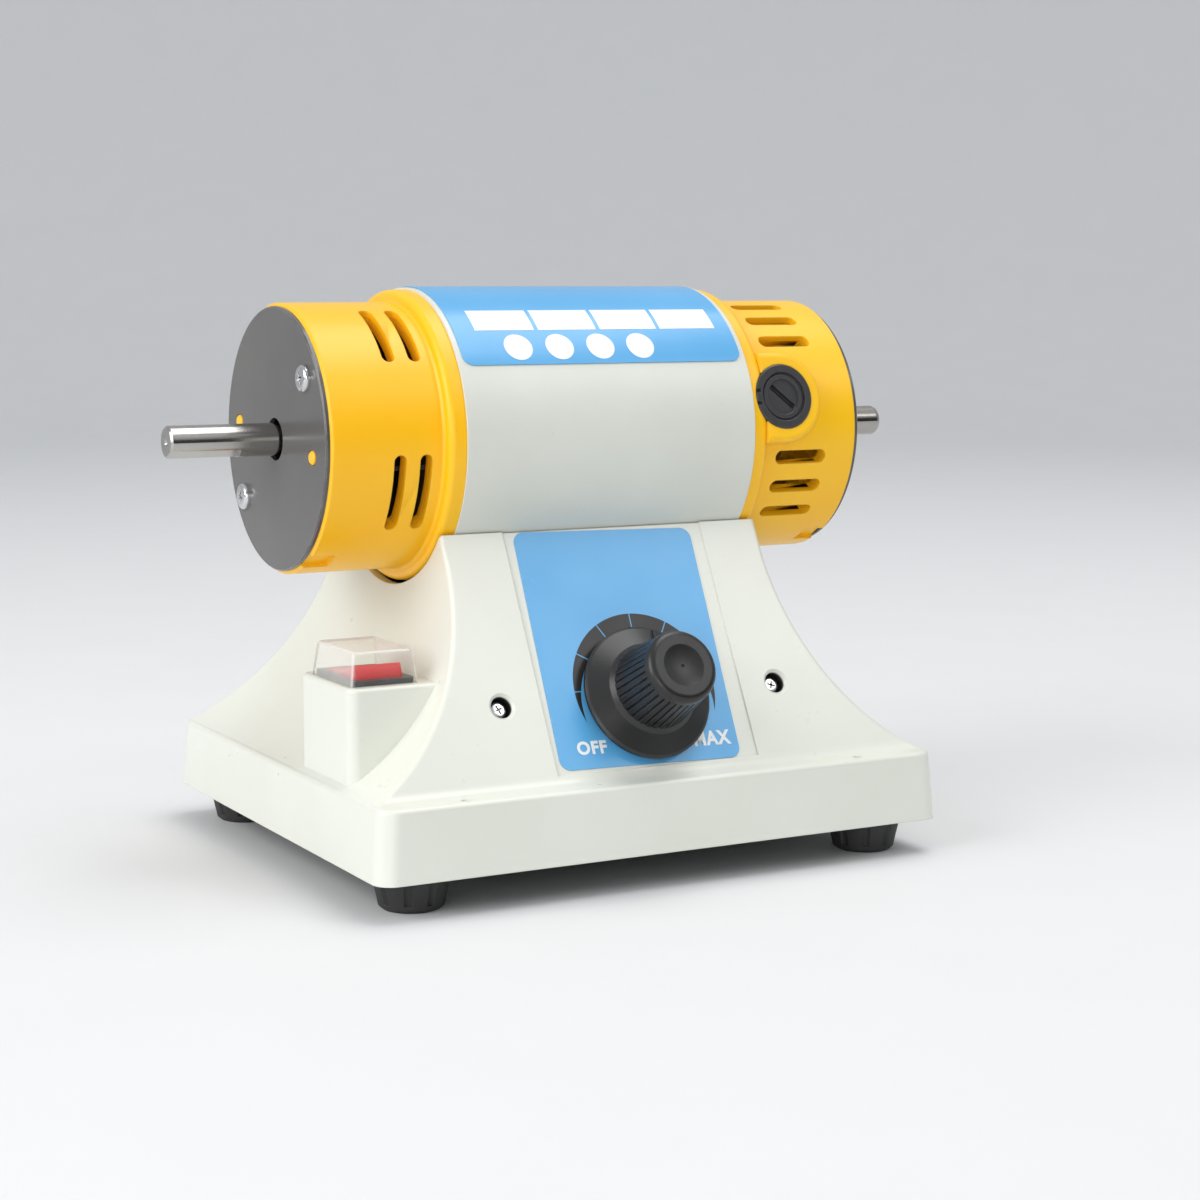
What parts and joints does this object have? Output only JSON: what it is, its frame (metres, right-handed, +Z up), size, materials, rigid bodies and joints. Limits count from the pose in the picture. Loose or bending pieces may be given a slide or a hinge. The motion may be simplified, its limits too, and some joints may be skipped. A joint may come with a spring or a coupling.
{
  "type": "dental polishing lathe",
  "caption": "Small two-ended bench polishing lathe: motor in a tube across a flared base, with a shaft out of both ends, a speed knob and a covered rocker switch.",
  "frame": {"origin": "on the floor under the middle of the base and of the shaft", "axes": "+X along the shaft to the right as seen from the knob side, +Y to the back, +Z up"},
  "size_m": [0.2544, 0.1817, 0.1771],
  "materials": {
    "shell": "smooth off-white moulding",
    "floor_plate": "satin dark sheet",
    "foot_rubber": "matt black rubber",
    "label_sheet": "printed film",
    "tube_paint": "glossy pale grey paint",
    "cap_paint": "golden yellow enamel",
    "black_plate": "glossy black",
    "lamination": "stacked steel sheet",
    "copper": "enamelled copper",
    "black_plastic": "black moulding",
    "carbon": "pressed carbon",
    "spring_steel": "drawn wire",
    "bracket_steel": "zinc-plated sheet",
    "board_laminate": "green laminate",
    "component_case": "moulded cases",
    "heatsink_metal": "extruded",
    "terminal_green": "green moulding",
    "terminal_brass": "tinned brass",
    "clear_cover": "clear moulding",
    "knob_plastic": "black moulding",
    "rocker_red": "translucent red",
    "fan_plastic": "black nylon",
    "shaft_steel": "ground steel",
    "fastener": "bright plating",
    "bearing_steel": "ground steel"
  },
  "bodies": {
    "base": {"base_shell": "shell", "bottom_plate": "floor_plate", "rubber_feet": "foot_rubber", "foot_screws": "fastener", "front_label": "label_sheet", "motor_label": "label_sheet", "motor_tube": "tube_paint", "left_end_cap": "cap_paint", "right_end_cap": "cap_paint", "left_end_plate": "black_plate", "right_end_plate": "black_plate", "end_plate_screws": "fastener", "stator_core": "lamination", "field_coils": "copper", "left_bearing_outer_race": "bearing_steel", "right_bearing_outer_race": "bearing_steel", "brush_housings": "black_plastic", "brush_caps": "black_plastic", "carbon_brushes": "carbon", "brush_springs": "spring_steel", "motor_bracket": "bracket_steel", "bracket_screws": "fastener", "bracket_nuts": "fastener", "motor_screws": "fastener", "control_board": "board_laminate", "board_spacers": "terminal_brass", "board_screws": "fastener", "film_capacitor": "component_case", "triac_heatsink": "heatsink_metal", "triac": "component_case", "choke": "copper", "terminal_block": "terminal_green", "potentiometer_body": "component_case", "potentiometer_washer": "fastener", "potentiometer_nut": "fastener", "switch_housing": "black_plastic", "switch_terminals": "terminal_brass", "switch_cover": "clear_cover", "cable_gland": "black_plastic", "gland_nut": "black_plastic"},
    "armature": {"motor_shaft": "shaft_steel", "armature_core": "lamination", "armature_windings": "copper", "commutator": "copper", "cooling_fan": "fan_plastic", "left_bearing_inner_race": "bearing_steel", "right_bearing_inner_race": "bearing_steel", "bearing_balls": "bearing_steel"},
    "speed_knob": {"speed_knob": "knob_plastic", "potentiometer_shaft": "bearing_steel"},
    "rocker": {"rocker": "rocker_red"}
  },
  "joints": [
    {"name": "armature_spin", "type": "hinge", "parent": "base", "child": "armature", "pos_m": [0, 0, 0.13125], "axis": [1, 0, 0], "continuous": true},
    {"name": "knob_turn", "type": "hinge", "parent": "base", "child": "speed_knob", "pos_m": [0, -0.06234, 0.05462], "axis": [0, -0.8831, 0.4692], "range_deg": [-123, 157]},
    {"name": "rocker_tilt", "type": "hinge", "parent": "base", "child": "rocker", "pos_m": [-0.0788, -0.03375, 0.0612], "axis": [1, 0, 0], "range_deg": [0, 20]}
  ]
}
